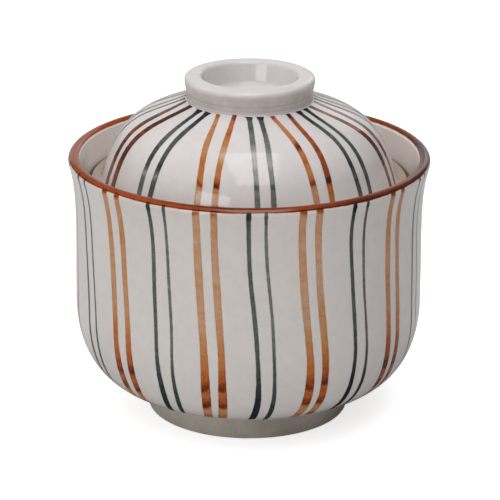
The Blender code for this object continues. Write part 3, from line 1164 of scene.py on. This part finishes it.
@dataclass
class Lid(FiredPiece):
    """The lid: dome, brim and the hollow ring knob on top."""

    name = "painted_lid"
    glaze = PaintedGlaze("lid_painted_glaze", from_screen(208, 204, 202), 0.08, 0.16)
    front = LID_PAIRS
    begin = "knob_foot"
    strays = (-1.2, 1.2)
    leans = (-3.0, 1.0)
    back_second = 0.22
    slants = (-0.6, 0.6)
    sags = (0.0, 0.6)
    gaps: ClassVar[dict[Pigment, Range]] = {  # angle between the lines of a pair, near the knob and far off
        Pigment.RUST: (14.0, 7.2),
        Pigment.GREEN: (9.4, 6.4),
    }
    pair_count: int = 16
    rest_height: float = 0.0528
    brim_radius: float = 0.0359
    brim_width: float = 0.0025
    brim_thickness: float = 0.0022
    brim_round: float = 0.0007
    dome_rise: float = 0.0186
    dome_lean: float = 14.0
    dome_slope: float = 24.0
    dome_fullness: Range = (0.562, 0.827)
    ceiling_fullness: Range = (0.70, 0.55)
    wall: float = 0.0034
    knob_radius: float = 0.01472
    knob_height: float = 0.0054
    knob_width: float = 0.0041
    knob_crown: float = 0.00115
    crown_fullness: Range = (0.74, 0.74)
    knob_edge: float = 0.0012
    knob_roll: float = 0.00255
    roll_fullness: Range = (0.45, 0.35)
    knob_tuck: float = 0.00037
    knob_tuck_lean: float = 9.0
    knob_neck: float = 0.0006
    knob_hollow: float = 0.0052
    knob_draft: float = 0.0009
    knob_fillet: float = 0.0012
    knob_base: float = 0.0028
    crease: float = 0.00002  # step under the crown
    groove: float = 0.00004  # depth of the throwing lines on the knob's side
    near_mm: float = 16.2  # the two radii at which a pair has its gaps
    far_mm: float = 32.0
    fade_mm: float = 13.5  # where a pair's lines fade
    dab_and_reflection_mm: float = 20.8  # where paint gathers before their end, and where lines are lightened as a painted reflection of the rim
    tail_mm: Range = (21.0, 21.7)  # where that gives way to the end itself

    def outline(self) -> None:
        """Draws the section: from the middle of the knob's hollow down the outside and up to the ceiling."""
        base = self.rest_height
        dome_radius = self.brim_radius - self.brim_width
        dome_top = base + self.brim_thickness + self.dome_rise
        knob_top = dome_top + self.knob_height
        knob_floor = knob_top - self.knob_hollow
        knob_inside = self.knob_radius - self.knob_width
        crest = point(knob_inside + self.knob_edge, knob_top)
        widest = point(self.knob_radius, knob_top - self.knob_crown)
        crease = point(self.knob_radius - self.knob_tuck, widest.y - self.knob_roll)
        knob_foot = point(self.knob_radius - self.knob_neck, dome_top)
        dome_foot = point(dome_radius, base + self.brim_thickness)
        opening = point(dome_radius - self.wall, base)
        ceiling = point(0, knob_floor - self.knob_base)
        section = self.section

        wall_height = self.knob_hollow - self.knob_fillet - self.knob_edge
        draft = math.degrees(math.atan2(self.knob_draft, wall_height))
        corner = point(knob_inside - self.knob_draft - self.knob_fillet, knob_floor + self.knob_fillet)
        section.add([point(0, knob_floor)])
        section.straight(point(corner.x, knob_floor), 7)
        section.add(arc(corner, self.knob_fillet, -90, -draft, 8))
        edge = arc(crest - point(0, self.knob_edge), self.knob_edge, 180 - draft, 90, 10)
        section.straight(edge[0], 6)
        section.add(edge)
        section.bend(0, 90, self.crown_fullness, widest, 20, "widest")
        section.bend(-90, 90 - self.knob_tuck_lean, self.roll_fullness, crease, 14)
        start = crease - at_angle(0, self.crease)
        side = [start.lerp(knob_foot, step / 16) for step in range(17)]
        for index, there in enumerate(side[1:-1]):
            there.x -= self.groove * (0.5 + 0.5 * math.sin(index * 1.9) * math.cos(index * 0.7))
        section.add(side, "knob_foot")
        section.bend(-self.dome_slope, 90 + self.dome_lean, self.dome_fullness, dome_foot, 66, "dome_foot")
        brim_edge = point(self.brim_radius - self.brim_round, base + self.brim_thickness - self.brim_round)
        section.add(arc(brim_edge, self.brim_round, 90, 0, 6))
        brim_under = point(self.brim_radius - self.brim_round, base + self.brim_round)
        section.add(arc(brim_under, self.brim_round, 0, -90, 6), "brim_under")
        section.straight(opening, 6, "opening")
        section.bend(90 + self.dome_lean, 0, self.ceiling_fullness, ceiling, 48)
        section.bare = (section.places["brim_under"] - 2, section.places["opening"] + 1)

    def course(self, brush: Brush) -> np.ndarray:
        """Leads a line down the dome, where it fans out from the knob.

        Args:
            brush: The brush on that line.

        Returns:
            Its angle at each ring.
        """
        pair = brush.pair
        radius = brush.turned.rings[:, 0]
        hand = 0.28 * brush.waver(2.2, 3.6) * (16 / np.maximum(radius, 8))
        narrow = (1 / np.maximum(radius, 1.0) - 1 / self.far_mm) / (1 / self.near_mm - 1 / self.far_mm)
        near, far = self.gaps[pair.pigment]
        return pair.angle + pair.lean * narrow + brush.side * (far + (near - far) * narrow) + hand

    def stroke(self, brush: Brush) -> tuple[np.ndarray, np.ndarray]:
        """Paints a line from the knob to the brim.

        Args:
            brush: The brush on that line.

        Returns:
            Its half width and its load of paint at each ring.
        """
        pair = brush.pair
        begin = brush.chance(-0.1, 0.3)
        end = brush.turned.at("dome_foot") + brush.chance(0.3, 1.0)
        swell = 1 + 0.06 * brush.waver(2.0, 4.0)
        tail = brush.rise(*self.tail_mm)
        if pair.pigment is Pigment.RUST:
            half = (0.54 + 0.18 * brush.rise(2, 14)) * swell
            gathered = brush.rise(19.6, 20.9) * brush.rise(21.5, 21.0)
            load = 0.56 + 0.30 * brush.hump(0.8, 0.7) - 0.20 * tail + brush.chance(0.25, 0.40) * gathered
            load += brush.dabs(4, (-0.14, 0.26), (3, 18), (0.5, 1.8))
        else:
            half = (0.56 + 0.03 * brush.rise(2, 14)) * swell + 0.28 * brush.hump(0.5, 0.6)
            load = 0.54 + 0.56 * brush.hump(0.3, 0.7) - 0.12 * brush.hump(2.0, 0.5)
            load += 0.26 * brush.rise(8.0, 1.0)
            # the dip at the dab place is a painted reflection of the cup's rim on the dome
            load += 0.10 * brush.hump(18.6, 1.2) - 0.14 * brush.hump(self.dab_and_reflection_mm, 0.8)
            load += brush.dabs(3, (-0.10, 0.12), (4, 20), (1.0, 3.0))
        load += pair.second * brush.side + pair.tail * tail
        load += pair.dab_and_reflection * brush.hump(self.dab_and_reflection_mm, 0.5)
        load -= pair.fades[brush.line] * brush.hump(self.fade_mm, 3.0)
        painted = (brush.along > begin) & (brush.along < end)
        return np.where(painted, half, 0.0), load

    def pour(self, turned: TurnedMesh) -> None:
        """Writes that the glaze pools at the knob's foot and is thin on the knob's side, both darker also as
        painted shade, and that the brim is darkened as painted shade.

        Args:
            turned: The lid.
        """
        along = turned.along
        # the knob's side is darker: thin glaze, and partly painted shade under the crown
        knob_side = smooth_step(-0.5, 0.6, along - turned.at("widest")) * smooth_step(0.1, -0.1, along)
        # painted shade on the brim, which lies in the shadow of the cup's wall
        brim = smooth_step(-0.6, 0.3, along - turned.at("dome_foot"))
        # at the knob's foot the glaze pools, darker also as painted shade in the crease
        turned.paint_rings("pool_and_shade", 1.3 * bell(0.1, 0.2, along) - 0.50 * knob_side - brim)


# The studio


@dataclass(frozen=True)
class Lamp:
    """A soft box."""

    name: str
    azimuth: float  # where it stands, from the front towards +X
    elevation: float  # how high it stands
    distance: float  # how far it stands from the object
    width: float
    height: float
    power: float  # in watts
    colour: Triple = (1.0, 1.0, 1.0)
    mirrored: bool = True  # whether it shows in reflections

    def hang(self, target: Vector) -> None:
        """Hangs it so that it faces the object.

        Args:
            target: Middle of the object.
        """
        turn = math.radians(self.azimuth)
        rise = math.radians(self.elevation)
        away = Vector((math.sin(turn) * math.cos(rise), -math.cos(turn) * math.cos(rise), math.sin(rise)))
        light = bpy.data.lights.new(self.name, "AREA")
        light.shape = "RECTANGLE"
        light.size = self.width
        light.size_y = self.height
        light.energy = self.power
        light.color = self.colour
        holder = bpy.data.objects.new(self.name, light)
        holder.visible_glossy = self.mirrored
        holder.location = target + away * self.distance
        holder.rotation_euler = (-away).to_track_quat("-Z", "Y").to_euler()
        bpy.context.scene.collection.objects.link(holder)


def ray_kinds(board: NodeBoard) -> tuple[Wire, Wire]:
    """Tells rays apart.

    Args:
        board: The board of a material or of the world.

    Returns:
        Whether a ray comes from the camera, also through glass, and whether it comes from a reflection.
    """
    path = board.node("LightPath", {})
    seen = board.math("MAXIMUM", board.wire(path, "Is Camera Ray"), board.wire(path, "Is Transmission Ray"))
    return seen, board.wire(path, "Is Glossy Ray")


@dataclass
class Studio:
    """White floor, white surroundings, soft light and the camera."""

    target: Vector = field(default_factory=lambda: Vector((0.0003, 0.0, 0.03708)))
    pitch: float = 19.76
    roll: float = 0.42
    distance: float = 0.630
    lens: float = 198.0
    sensor: float = 36.0
    ambient: float = 0.175
    ambient_colour: Colour = (1.0, 0.92, 0.96, 1.0)
    room_mirrored: Range = (0.12, 0.60)  # how bright the room is in a reflection, in front and behind
    room_turns: Range = (0.80, 0.93)  # from which direction to which it changes, along +Y
    floor_size: float = 6.0
    floor_tone: Colour = (0.8, 0.8, 0.8, 1.0)
    floor_glow: float = 0.68  # what is added to the floor in the picture, so that it comes out white
    floor_mirrored: Range = (0.1, 0.57)  # how bright the floor is in a reflection, in front and behind
    floor_turns: Range = (-0.03, 0.04)  # from where to where it changes, along +Y
    lamps: tuple[Lamp, ...] = (
        Lamp("left_softbox", -85.0, 50.0, 1.1, 1.2, 1.2, 4.15, (1.0, 0.985, 0.965), mirrored=False),
        Lamp("window", -29.0, 13.0, 1.0, 0.46, 0.46, 2.2),
        Lamp("ceiling_softbox", 60.0, 84.0, 1.0, 1.2, 1.2, 3.8, mirrored=False),
        Lamp("back_softbox", 178.0, 60.0, 1.0, 1.2, 0.8, 1.8, mirrored=False),
        Lamp("back_right_softbox", 160.0, 24.0, 1.0, 0.36, 0.36, 0.24),
        Lamp("overhead_softbox", 6.0, 66.0, 0.8, 0.42, 0.85, 2.5),
    )

    def camera(self) -> None:
        """Sets up the camera at the photograph's viewing angle."""
        data = bpy.data.cameras.new("camera")
        data.sensor_width = self.sensor
        data.lens = self.lens
        holder = bpy.data.objects.new("camera", data)
        bpy.context.scene.collection.objects.link(holder)
        tilt = math.radians(self.pitch)
        eye = self.target + self.distance * Vector((0, -math.cos(tilt), math.sin(tilt)))
        turn = Matrix.Rotation(math.pi / 2 - tilt, 4, "X") @ Matrix.Rotation(math.radians(self.roll), 4, "Z")
        holder.matrix_world = Matrix.Translation(eye) @ turn
        bpy.context.scene.camera = holder

    def world(self) -> None:
        """Lights the object evenly from all round, and shows white behind it."""
        world = bpy.data.worlds.new("studio")
        bpy.context.scene.world = world
        world.use_nodes = True
        board = NodeBoard(world.node_tree)
        seen, reflected = ray_kinds(board)
        room = board.split(board.place("Generated"))[1].spread(*self.room_turns, *self.room_mirrored)
        white = board.math("MAXIMUM", seen, reflected * room)
        strength = board.math("MAXIMUM", white, self.ambient)
        colour = board.blend(board.math("GREATER_THAN", white, 0.0), self.ambient_colour, WHITE)
        board.fill(world.node_tree.nodes["Background"], {"Strength": strength, "Color": colour})

    def floor(self) -> None:
        """Lays the white floor, which keeps a soft shadow."""
        bpy.ops.object.select_all(action="DESELECT")
        bpy.ops.mesh.primitive_plane_add(size=self.floor_size, location=(0, 0, 0))
        floor = bpy.context.object
        floor.name = "floor"
        made, board, shader = new_material("white_floor")
        seen, reflected = ray_kinds(board)
        mirrored = board.split(board.place())[1].spread(*self.floor_turns, *self.floor_mirrored)
        tone = board.blend(reflected, self.floor_tone, board.vector(mirrored, mirrored, mirrored))
        board.fill(shader, {"Base Color": tone, "Roughness": 0.9, "Specular IOR Level": 0.0})
        board.fill(shader, {"Emission Color": WHITE, "Emission Strength": seen * self.floor_glow})
        floor.data.materials.append(made)

    def set_up(self) -> None:
        """Sets up everything round the object."""
        bpy.context.scene.view_settings.view_transform = "Standard"
        self.world()
        self.floor()
        for lamp in self.lamps:
            lamp.hang(self.target)
        self.camera()


def main() -> None:
    """Builds the studio, the cup and the lid."""
    logging.basicConfig(level=logging.INFO, format="%(name)s: %(message)s")
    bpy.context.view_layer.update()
    Studio().set_up()
    LOG.info("studio set up")
    glaze = GlazeBody().group()
    paint = BrushPaint().group()
    clay = BareClay().material()
    wheel = Wheel()
    rng = np.random.default_rng(SEED)
    for maker, body, slot in ((Cup(), "cup", "cup_glaze"), (Lid(), "lid", "lid_glaze")):
        piece = maker.build(wheel)
        maker.dress(piece, wheel, (maker.glaze.material(glaze, paint), clay), rng)
        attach(piece, body)
        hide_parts(body)
        LOG.info("%s: %d faces on body %s", piece.name, len(piece.data.polygons), body)


if __name__ == "__main__":
    main()
